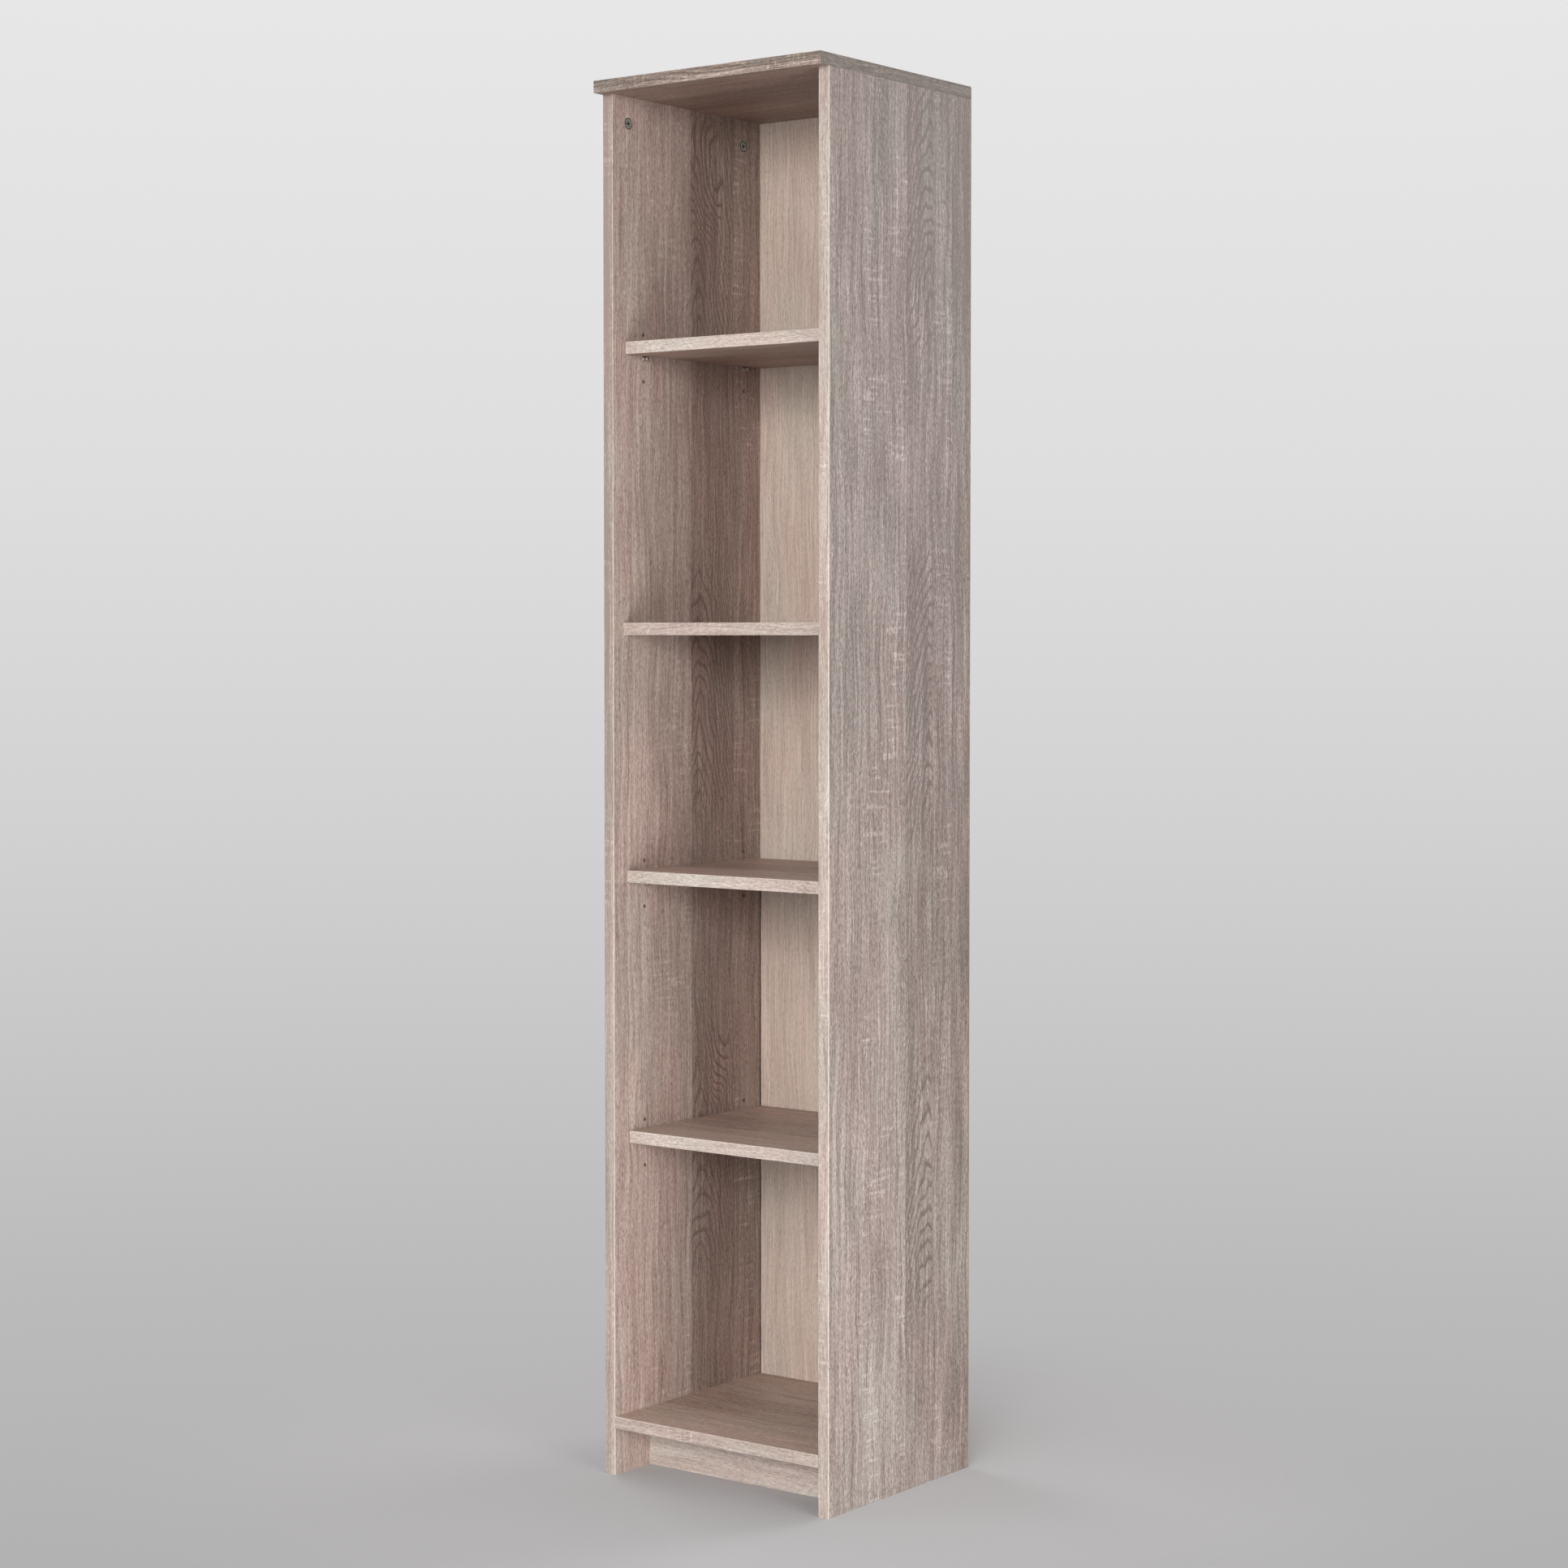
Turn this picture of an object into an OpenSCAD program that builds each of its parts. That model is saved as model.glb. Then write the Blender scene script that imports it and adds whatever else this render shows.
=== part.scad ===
// Narrow bookcase with adjustable shelves.
// A tall case of coated boards stands on a recessed plinth. One shelf is fixed half way up,
// and three loose shelves rest on push-in pins that can be moved one hole up or down.
// The front faces -Y, up is +Z, and the origin is on the floor under the middle of the outer box.

/* [Case] */
// Overall height, from the floor to the upper face of the top
case_h = 1800; // [1500:10:2160]
// Overall width, over the outer faces of the sides
case_w = 360; // [300:10:600]
// Depth of each side, from its front edge to its rear edge
side_d = 310; // [260:10:400]
// Thickness of every board
board_t = 16; // [15:1:19]
// How far the top stands out in front of the sides
top_overhang = 18; // [6:1:30]
// Height of the plinth, which is also the height of the bottom panel's underside
plinth_h = 61; // [50:1:100]
// How far the plinth stands behind the sides' front edges
plinth_setback = 72; // [50:1:90]
// Thickness of the back panel
back_t = 3; // [2.5:0.5:5]
// How far the back panel's edges stay inside the case's outline
back_inset = 1.5; // [1:0.5:4]

/* [Edge bands] */
// Thickness of the bands glued to the exposed edges
band_t = 1.2; // [0.8:0.1:2]
// Rounding of the bands' outer corners
band_round = 1; // [0.4:0.1:1.6]

/* [Shelves] */
// Clear height of the bottom compartment, from the bottom panel up to the lower loose shelf
bottom_clear = 354; // [250:1:400]
// Clear height of the lower compartment, from the lower to the middle loose shelf
lower_clear = 324; // [250:1:380]
// Clear height of the middle compartment, from the middle loose shelf to the fixed shelf
middle_clear = 305; // [250:1:380]
// Clear height of the top compartment, from the upper loose shelf to the top
top_clear = 314; // [250:1:400]
// How far the fixed shelf's front edge stands behind the sides' front edges
fixed_setback = 22; // [10:1:40]
// How far the upper loose shelf's front edge stands behind the sides' front edges
upper_setback = 24; // [15:1:29]
// How far the middle loose shelf's front edge stands behind the sides' front edges
middle_setback = 25; // [15:1:29]
// How far the lower loose shelf's front edge stands behind the sides' front edges
lower_setback = 29; // [15:1:29]
// How much shallower a loose shelf is than the sides
shelf_relief = 30; // [30:1:60]
// Gap between each end of a loose shelf and the side
shelf_end_gap = 1.2; // [1.2:0.1:3]
// Gap left between a loose shelf's underside and the pins it lies on
shelf_rest_gap = 0.2; // [0.1:0.05:0.5]

/* [Pin holes and pins] */
// Diameter of the pin holes
pin_hole_dia = 5; // [4:0.5:6]
// Depth of the pin holes
pin_hole_depth = 10; // [8:0.5:12]
// Vertical spacing of the pin holes
hole_pitch = 30; // [25:1:36]
// Holes in each row above the one that the pin is in, and as many below it
spare_holes = 1; // [1:1:2]
// Distance of the front line of pin holes behind the sides' front edges
front_line = 62; // [50:1:90]
// Distance of the rear line of pin holes ahead of the sides' rear edges
rear_line = 36; // [34:1:70]
// Length of a pin outside the side
pin_reach = 8; // [6:0.5:12]
// Length of a pin inside the side
pin_shank = 8; // [6:0.5:8]
// How far a pin's two flanges stand out beyond its hole, all round
pin_flange_rim = 0.5; // [0.3:0.1:1.5]
// Thickness of each flange, one against the side and one at the tip
pin_flange_t = 1.6; // [1:0.1:2.5]
// How far the waist between the flanges is cut in from the hole's radius
pin_waist_cut = 0.4; // [0.2:0.1:1]
// Radial clearance of a pin in its hole
pin_fit = 0.05; // [0.01:0.01:0.1]

/* [Cam fittings] */
// Diameter of a cam lock
cam_dia = 15; // [12:0.5:18]
// Distance from a cam lock's axis to the end of the board that it is set in
bolt_len = 34; // [24:1:40]
// Distance of the top's front cam locks behind the sides' front edges
top_cam_front = 32; // [30:1:60]
// Distance of the top's rear cam locks ahead of the sides' rear edges
top_cam_rear = 36; // [30:1:60]
// Distance of the other cam locks from the front and rear edges of their board
board_cam_edge = 37; // [30:1:41]
// Distance of the plinth's cam locks below its upper edge
plinth_cam_drop = 20; // [16:1:24]
// Height of the plinth's dowels above the floor
plinth_dowel_rise = 18; // [12:1:20]
// Distance from each cam lock to the dowel beside it
dowel_offset = 48; // [32:1:60]
// Radial clearance of a cam lock in its bore
cam_fit = 0.05; // [0.01:0.01:0.1]
// Radial clearance of bolts and dowels in their drillings
drill_fit = 0.05; // [0.02:0.01:0.1]

/* [Back nails] */
// Widest spacing of the nails along the boards
nail_pitch = 150; // [100:10:250]
// How far the nail heads stand proud of the back panel
nail_proud = 0.4; // [0.2:0.1:1]

/* [Hidden] */
$fn = 48;

// Colours
laminate = [0.62, 0.56, 0.50];
band_cream = [0.84, 0.79, 0.71];
fibreboard = [0.72, 0.66, 0.58];
nickel = [0.80, 0.80, 0.78];
zinc = [0.52, 0.53, 0.51];
beech = [0.80, 0.66, 0.46];
steel = [0.60, 0.61, 0.62];

// Sides of the case, as signs along X
left = -1;
right = 1;

// Planes and spans of the case
overall_d = top_overhang + side_d + back_t + nail_proud;
front_y = top_overhang - overall_d / 2;
rear_y = front_y + side_d;
inner_w = case_w - 2 * board_t;
side_h = case_h - board_t;
plinth_rear_y = front_y + plinth_setback + board_t;
loose_w = inner_w - 2 * shelf_end_gap;
loose_d = side_d - shelf_relief;

// Undersides of the boards: the upper compartment, on the fixed shelf, takes the height that is left
bottom_z = plinth_h;
lower_z = bottom_z + board_t + bottom_clear;
middle_z = lower_z + board_t + lower_clear;
fixed_z = middle_z + board_t + middle_clear;
upper_z = side_h - top_clear - board_t;

// Heights and lines of the pins, just under the loose shelves
pin_r = pin_hole_dia / 2;
pin_flange_r = pin_r + pin_flange_rim;
upper_row = upper_z - shelf_rest_gap - pin_flange_r;
middle_row = middle_z - shelf_rest_gap - pin_flange_r;
lower_row = lower_z - shelf_rest_gap - pin_flange_r;
pin_front_y = front_y + front_line;
pin_rear_y = rear_y - rear_line;
pin_body_r = pin_r - pin_fit;
pin_waist_r = pin_r - pin_waist_cut;
pin_chamfer = 0.4;

// Spare room round moving fittings and at the end of a drilling
cut_clear = 0.3;

// Cam lock: wall round its hollow, half the hollow's height, floor under it, and cross recess in its face
cam_r = cam_dia / 2;
cam_wall = 2.1;
track_half = 3.6;
cam_floor = 0.9;
recess_len = 7.2;
recess_w = 1.5;
recess_depth = 2.2;

// Cam bolt, which runs along the middle of the board's thickness: radii, and where each length of it ends
bolt_depth = board_t / 2;
cam_depth = bolt_depth + track_half + cam_floor;
head_r = 3;
head_near = 0.8;
head_far = sqrt(pow(cam_r - cam_wall - cut_clear, 2) - pow(head_r, 2));
neck_r = 1.9;
neck_end = 11;
shank_r = 3;
thread_r = 3.1;
bolt_drill_r = 4;

// Wood left behind a bolt or dowel in a board's face
face_skin = 5;
face_grip = board_t - face_skin;

// Dowels
dowel_r = 4;
dowel_len = 30;

// Lines of the fittings, front to rear
top_front_cam_y = front_y + top_cam_front;
top_rear_cam_y = rear_y - top_cam_rear;
fixed_front_cam_y = front_y + fixed_setback + board_cam_edge;
board_rear_cam_y = rear_y - board_cam_edge;
bottom_front_cam_y = front_y + board_cam_edge;
plinth_cam_z = plinth_h - plinth_cam_drop;

// Nails of the back panel
nail_r = 0.7;
nail_len = 16;
nail_head_r = 1.8;
nail_head_t = 0.8;
nail_low_z = plinth_h + board_t / 2;
nail_high_z = case_h - board_t / 2;
nail_steps = ceil((nail_high_z - nail_low_z) / nail_pitch);
nail_cross_steps = ceil(inner_w / nail_pitch);

// The rounding is held inside the band
band_r = min(band_round, 0.9 * band_t);

// Cross-section of an edge band: glued face at y = band_t, outer face at y = 0
module band_profile(width) {
    intersection() {
        square([width, band_t]);
        union() {
            translate([band_r, 0])
                square([width - 2 * band_r, band_t]);
            translate([0, band_r])
                square([width, band_t]);
            for (x = [band_r, width - band_r])
                translate([x, band_r])
                    circle(r = band_r);
        }
    }
}

// Band on a front edge that runs across the case, from x = -length / 2
module cross_band(length, front, z) {
    color(band_cream)
        translate([-length / 2, front, z + board_t])
            rotate([0, 90, 0])
                linear_extrude(height = length)
                    band_profile(board_t);
}

// Board that lies across the case, behind a band on its front edge
module cross_board(length, front, rear, z) {
    translate([-length / 2, front + band_t, z])
        cube([length, rear - front - band_t, board_t]);
}

// Frame of a joint between a side's upper end and the top.
// Its origin is at the cam's centre on the inner face, +z faces into the case and +y runs along the bolt.
module at_top_joint(side, y) {
    translate([side * inner_w / 2, y, side_h - bolt_len])
        rotate([90, 0, -90 * side])
            children();
}

// The same frame for a board's end against a side, with the cam in the board's underside
module at_board_joint(side, y, z) {
    translate([side * (inner_w / 2 - bolt_len), y, z])
        rotate([180, 0, 90 * side])
            children();
}

// The same frame for the plinth's end against a side, with the cam in the plinth's rear face
module at_plinth_joint(side, z) {
    translate([side * (inner_w / 2 - bolt_len), plinth_rear_y, z])
        rotate([-90, -90 * side, 0])
            children();
}

// Round bar along +y of a joint's frame, half way through the board's thickness
module joint_bar(start, end, r) {
    translate([0, start, -bolt_depth])
        rotate([-90, 0, 0])
            cylinder(h = end - start, r = r);
}

// Bore for a cam lock and the drilling for its bolt
module cam_drilling() {
    translate([0, 0, -cam_depth - cut_clear])
        cylinder(h = cam_depth + 1, r = cam_r + cam_fit);
    joint_bar(0, bolt_len + 1, bolt_drill_r);
}

// Pilot hole that a cam bolt is screwed into
module thread_drilling() {
    joint_bar(bolt_len - 1, bolt_len + face_grip + cut_clear, thread_r + drill_fit);
}

// Dowel hole in the end of a board
module dowel_end_drilling() {
    joint_bar(bolt_len - dowel_len + face_grip - cut_clear, bolt_len + 1, dowel_r + drill_fit);
}

// Dowel hole in the face of a board
module dowel_face_drilling() {
    joint_bar(bolt_len - 1, bolt_len + face_grip + cut_clear, dowel_r + drill_fit);
}

// Cam lock: a round body with a cross recess, and a track that lets it turn half a turn round its bolt
module cam_lock() {
    color(zinc)
        difference() {
            translate([0, 0, -cam_depth])
                cylinder(h = cam_depth, r = cam_r);
            // Hollow for the bolt's head
            translate([0, 0, -bolt_depth - track_half])
                cylinder(h = 2 * track_half, r = cam_r - cam_wall);
            // Track in the wall for the bolt's neck
            translate([-neck_r - cut_clear, -cam_dia, -bolt_depth - neck_r - cut_clear])
                cube([2 * cam_dia, 2 * cam_dia, 2 * (neck_r + cut_clear)]);
            // Mouth that the head enters by
            rotate([0, 0, 180])
                joint_bar(0, cam_dia, head_r + cut_clear);
            // Cross recess
            for (turn = [0, 90])
                rotate([0, 0, turn])
                    translate([-recess_len / 2, -recess_w / 2, -recess_depth])
                        cube([recess_len, recess_w, 2 * recess_depth]);
        }
}

module top_cam(side, y) {
    at_top_joint(side, y) cam_lock();
}

module fixed_cam(side, y) {
    at_board_joint(side, y, fixed_z) cam_lock();
}

module bottom_cam(side, y) {
    at_board_joint(side, y, bottom_z) cam_lock();
}

module plinth_cam(side) {
    at_plinth_joint(side, plinth_cam_z) cam_lock();
}

// Cam bolt: head in the cam, neck, shank along the drilling and thread in the other board
module cam_bolt() {
    joint_bar(head_near, head_far, head_r);
    joint_bar(head_far, neck_end, neck_r);
    joint_bar(neck_end, bolt_len, shank_r);
    joint_bar(bolt_len, bolt_len + face_grip, thread_r);
}

// Fluted beech dowel, taken as plain round
module dowel() {
    joint_bar(bolt_len - dowel_len + face_grip, bolt_len + face_grip, dowel_r);
}

// Pin for a loose shelf: shank in the hole, then two flanges that the shelf lies on, with a waist between
module shelf_pin(side, y, row) {
    color(nickel)
        translate([side * inner_w / 2, y, row])
            rotate([0, -90 * side, 0])
                rotate_extrude()
                    polygon([
                        [0, -pin_shank],
                        [pin_body_r - pin_chamfer, -pin_shank],
                        [pin_body_r, pin_chamfer - pin_shank],
                        [pin_body_r, 0],
                        [pin_flange_r, 0],
                        [pin_flange_r, pin_flange_t - pin_chamfer],
                        [pin_flange_r - pin_chamfer, pin_flange_t],
                        [pin_waist_r, pin_flange_t],
                        [pin_waist_r, pin_reach - pin_flange_t],
                        [pin_flange_r - pin_chamfer, pin_reach - pin_flange_t],
                        [pin_flange_r, pin_reach - pin_flange_t + pin_chamfer],
                        [pin_flange_r, pin_reach - pin_chamfer],
                        [pin_flange_r - pin_chamfer, pin_reach],
                        [0, pin_reach]
                    ]);
}

// Every pin hole of one side
module pin_holes(side) {
    rows = [upper_row, middle_row, lower_row];
    for (row = rows, step = [-spare_holes : spare_holes], y = [pin_front_y, pin_rear_y])
        translate([side * (inner_w / 2 - 1), y, row + step * hole_pitch])
            rotate([0, 90 * side, 0])
                cylinder(h = pin_hole_depth + 1, r = pin_r);
}

// Side of the case with all its drillings
module side_panel(side) {
    color(laminate)
        difference() {
            translate([side * (inner_w + board_t) / 2 - board_t / 2, front_y + band_t, 0])
                cube([board_t, side_d - band_t, side_h]);
            for (y = [top_front_cam_y, top_rear_cam_y])
                at_top_joint(side, y) cam_drilling();
            for (y = [top_front_cam_y + dowel_offset, top_rear_cam_y - dowel_offset])
                at_top_joint(side, y) dowel_end_drilling();
            for (y = [fixed_front_cam_y, board_rear_cam_y])
                at_board_joint(side, y, fixed_z) thread_drilling();
            for (y = [fixed_front_cam_y + dowel_offset, board_rear_cam_y - dowel_offset])
                at_board_joint(side, y, fixed_z) dowel_face_drilling();
            for (y = [bottom_front_cam_y, board_rear_cam_y])
                at_board_joint(side, y, bottom_z) thread_drilling();
            for (y = [bottom_front_cam_y + dowel_offset, board_rear_cam_y - dowel_offset])
                at_board_joint(side, y, bottom_z) dowel_face_drilling();
            at_plinth_joint(side, plinth_cam_z) thread_drilling();
            at_plinth_joint(side, plinth_dowel_rise) dowel_face_drilling();
            pin_holes(side);
        }
}

module top_panel() {
    color(laminate)
        difference() {
            translate([band_t - case_w / 2, front_y - top_overhang + band_t, side_h])
                cube([case_w - 2 * band_t, top_overhang + side_d - band_t, board_t]);
            for (side = [left, right]) {
                for (y = [top_front_cam_y, top_rear_cam_y])
                    at_top_joint(side, y) thread_drilling();
                for (y = [top_front_cam_y + dowel_offset, top_rear_cam_y - dowel_offset])
                    at_top_joint(side, y) dowel_face_drilling();
            }
        }
}

module bottom_panel() {
    color(laminate)
        difference() {
            cross_board(inner_w, front_y, rear_y, bottom_z);
            for (side = [left, right]) {
                for (y = [bottom_front_cam_y, board_rear_cam_y])
                    at_board_joint(side, y, bottom_z) cam_drilling();
                for (y = [bottom_front_cam_y + dowel_offset, board_rear_cam_y - dowel_offset])
                    at_board_joint(side, y, bottom_z) dowel_end_drilling();
            }
        }
}

module fixed_shelf() {
    color(laminate)
        difference() {
            cross_board(inner_w, front_y + fixed_setback, rear_y, fixed_z);
            for (side = [left, right]) {
                for (y = [fixed_front_cam_y, board_rear_cam_y])
                    at_board_joint(side, y, fixed_z) cam_drilling();
                for (y = [fixed_front_cam_y + dowel_offset, board_rear_cam_y - dowel_offset])
                    at_board_joint(side, y, fixed_z) dowel_end_drilling();
            }
        }
}

module plinth() {
    color(laminate)
        difference() {
            translate([-inner_w / 2, plinth_rear_y - board_t, 0])
                cube([inner_w, board_t, plinth_h]);
            for (side = [left, right]) {
                at_plinth_joint(side, plinth_cam_z) cam_drilling();
                at_plinth_joint(side, plinth_dowel_rise) dowel_end_drilling();
            }
        }
}

module back_panel() {
    color(fibreboard)
        translate([back_inset - case_w / 2, rear_y, plinth_h + back_inset])
            cube([case_w - 2 * back_inset, back_t, case_h - plinth_h - 2 * back_inset]);
}

module loose_shelf(z, setback) {
    color(laminate)
        cross_board(loose_w, front_y + setback, front_y + setback + loose_d, z);
}

module loose_shelf_band(z, setback) {
    cross_band(loose_w, front_y + setback, z);
}

module side_band(side) {
    color(band_cream)
        translate([side * (inner_w + board_t) / 2 - board_t / 2, front_y, 0])
            linear_extrude(height = side_h)
                band_profile(board_t);
}

module top_end_band(side) {
    color(band_cream)
        translate([side * case_w / 2, side > 0 ? front_y - top_overhang + band_t : rear_y, case_h])
            rotate([0, 90, 90 * side])
                linear_extrude(height = top_overhang + side_d - band_t)
                    band_profile(board_t);
}

module top_cam_bolts() {
    color(steel)
        for (side = [left, right], y = [top_front_cam_y, top_rear_cam_y])
            at_top_joint(side, y) cam_bolt();
}

module fixed_shelf_cam_bolts() {
    color(steel)
        for (side = [left, right], y = [fixed_front_cam_y, board_rear_cam_y])
            at_board_joint(side, y, fixed_z) cam_bolt();
}

module bottom_panel_cam_bolts() {
    color(steel)
        for (side = [left, right], y = [bottom_front_cam_y, board_rear_cam_y])
            at_board_joint(side, y, bottom_z) cam_bolt();
}

module plinth_cam_bolts() {
    color(steel)
        for (side = [left, right])
            at_plinth_joint(side, plinth_cam_z) cam_bolt();
}

module top_dowels() {
    color(beech)
        for (side = [left, right], y = [top_front_cam_y + dowel_offset, top_rear_cam_y - dowel_offset])
            at_top_joint(side, y) dowel();
}

module fixed_shelf_dowels() {
    color(beech)
        for (side = [left, right], y = [fixed_front_cam_y + dowel_offset, board_rear_cam_y - dowel_offset])
            at_board_joint(side, y, fixed_z) dowel();
}

module bottom_panel_dowels() {
    color(beech)
        for (side = [left, right], y = [bottom_front_cam_y + dowel_offset, board_rear_cam_y - dowel_offset])
            at_board_joint(side, y, bottom_z) dowel();
}

module plinth_dowels() {
    color(beech)
        for (side = [left, right])
            at_plinth_joint(side, plinth_dowel_rise) dowel();
}

// One nail, driven forwards through the back panel
module nail(x, z) {
    translate([x, rear_y + back_t + nail_proud, z])
        rotate([90, 0, 0]) {
            cylinder(h = nail_head_t, r = nail_head_r);
            cylinder(h = nail_len, r = nail_r);
        }
}

module back_nails() {
    color(steel) {
        for (side = [left, right], step = [0 : nail_steps])
            nail(side * (inner_w + board_t) / 2, nail_low_z + step * (nail_high_z - nail_low_z) / nail_steps);
        for (step = [1 : nail_cross_steps - 1], z = [nail_low_z, fixed_z + board_t / 2, nail_high_z])
            nail(step * inner_w / nail_cross_steps - inner_w / 2, z);
    }
}

top_panel();
side_panel(left);  // left_side
side_panel(right);  // right_side
bottom_panel();
fixed_shelf();
plinth();
back_panel();
loose_shelf(upper_z, upper_setback);  // upper_shelf
loose_shelf(middle_z, middle_setback);  // middle_shelf
loose_shelf(lower_z, lower_setback);  // lower_shelf
cross_band(case_w, front_y - top_overhang, side_h);  // top_front_band
top_end_band(left);  // top_left_band
top_end_band(right);  // top_right_band
side_band(left);  // left_side_band
side_band(right);  // right_side_band
cross_band(inner_w, front_y, bottom_z);  // bottom_panel_band
cross_band(inner_w, front_y + fixed_setback, fixed_z);  // fixed_shelf_band
loose_shelf_band(upper_z, upper_setback);  // upper_shelf_band
loose_shelf_band(middle_z, middle_setback);  // middle_shelf_band
loose_shelf_band(lower_z, lower_setback);  // lower_shelf_band
shelf_pin(left, pin_front_y, upper_row);  // upper_pin_left_front
shelf_pin(left, pin_rear_y, upper_row);  // upper_pin_left_rear
shelf_pin(right, pin_front_y, upper_row);  // upper_pin_right_front
shelf_pin(right, pin_rear_y, upper_row);  // upper_pin_right_rear
shelf_pin(left, pin_front_y, middle_row);  // middle_pin_left_front
shelf_pin(left, pin_rear_y, middle_row);  // middle_pin_left_rear
shelf_pin(right, pin_front_y, middle_row);  // middle_pin_right_front
shelf_pin(right, pin_rear_y, middle_row);  // middle_pin_right_rear
shelf_pin(left, pin_front_y, lower_row);  // lower_pin_left_front
shelf_pin(left, pin_rear_y, lower_row);  // lower_pin_left_rear
shelf_pin(right, pin_front_y, lower_row);  // lower_pin_right_front
shelf_pin(right, pin_rear_y, lower_row);  // lower_pin_right_rear
top_cam(left, top_front_cam_y);  // top_cam_left_front
top_cam(left, top_rear_cam_y);  // top_cam_left_rear
top_cam(right, top_front_cam_y);  // top_cam_right_front
top_cam(right, top_rear_cam_y);  // top_cam_right_rear
fixed_cam(left, fixed_front_cam_y);  // fixed_cam_left_front
fixed_cam(left, board_rear_cam_y);  // fixed_cam_left_rear
fixed_cam(right, fixed_front_cam_y);  // fixed_cam_right_front
fixed_cam(right, board_rear_cam_y);  // fixed_cam_right_rear
bottom_cam(left, bottom_front_cam_y);  // bottom_cam_left_front
bottom_cam(left, board_rear_cam_y);  // bottom_cam_left_rear
bottom_cam(right, bottom_front_cam_y);  // bottom_cam_right_front
bottom_cam(right, board_rear_cam_y);  // bottom_cam_right_rear
plinth_cam(left);  // plinth_cam_left
plinth_cam(right);  // plinth_cam_right
top_cam_bolts();
fixed_shelf_cam_bolts();
bottom_panel_cam_bolts();
plinth_cam_bolts();
top_dowels();
fixed_shelf_dowels();
bottom_panel_dowels();
plinth_dowels();
back_nails();
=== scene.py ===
"""Finishes for a narrow bookcase with adjustable shelves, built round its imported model.

The boards are covered with a greige oak print, their front edges with a paler band, and the fittings
are zinc cam locks and nickel shelf pins. Lengths in the finishes are in millimetres, placings in metres.
"""

import logging
import math
from dataclasses import dataclass
from dataclasses import field
from enum import Enum
from typing import Sequence
from typing import Union

import bpy
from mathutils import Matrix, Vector

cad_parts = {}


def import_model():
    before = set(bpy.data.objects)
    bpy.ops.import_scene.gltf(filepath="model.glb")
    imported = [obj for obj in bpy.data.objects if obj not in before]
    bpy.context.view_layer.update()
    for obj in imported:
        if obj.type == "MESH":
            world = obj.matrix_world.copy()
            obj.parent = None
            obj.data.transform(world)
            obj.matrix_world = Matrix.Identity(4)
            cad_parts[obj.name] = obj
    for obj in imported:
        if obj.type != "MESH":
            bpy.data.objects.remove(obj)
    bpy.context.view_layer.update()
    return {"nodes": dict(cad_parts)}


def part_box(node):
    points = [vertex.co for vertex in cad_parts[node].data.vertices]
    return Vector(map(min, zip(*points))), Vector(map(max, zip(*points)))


LOG = logging.getLogger("bookcase")
MM = 0.001
SEED_STEP = (7.31, 3.17, 5.93)

Socket = bpy.types.NodeSocket
Value = Union[Socket, float]
Colour = tuple[float, float, float, float]
Triple = tuple[float, float, float]


def shade(red: int, green: int, blue: int) -> Colour:
    """Turns a paint-chart colour, 0 to 255 a channel, into the linear colour that shaders take.

    Args:
        red: Red of the chart colour.
        green: Green of the chart colour.
        blue: Blue of the chart colour.

    Returns:
        The linear colour with an alpha of one.
    """
    straight_end, slope, lift, power = 0.04045, 12.92, 0.055, 2.4
    linear = []
    for channel in (red, green, blue):
        part = channel / 255.0
        curved = ((part + lift) / (1.0 + lift)) ** power
        linear.append(part / slope if part <= straight_end else curved)
    return (linear[0], linear[1], linear[2], 1.0)


class Axis(Enum):
    """An axis of the bookcase: across it, front to rear, or upwards."""

    ACROSS = 0
    DEPTH = 1
    UP = 2


class Blend(Enum):
    """How two colours are laid over each other."""

    COVER = "MIX"
    DEEPEN = "MULTIPLY"


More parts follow.
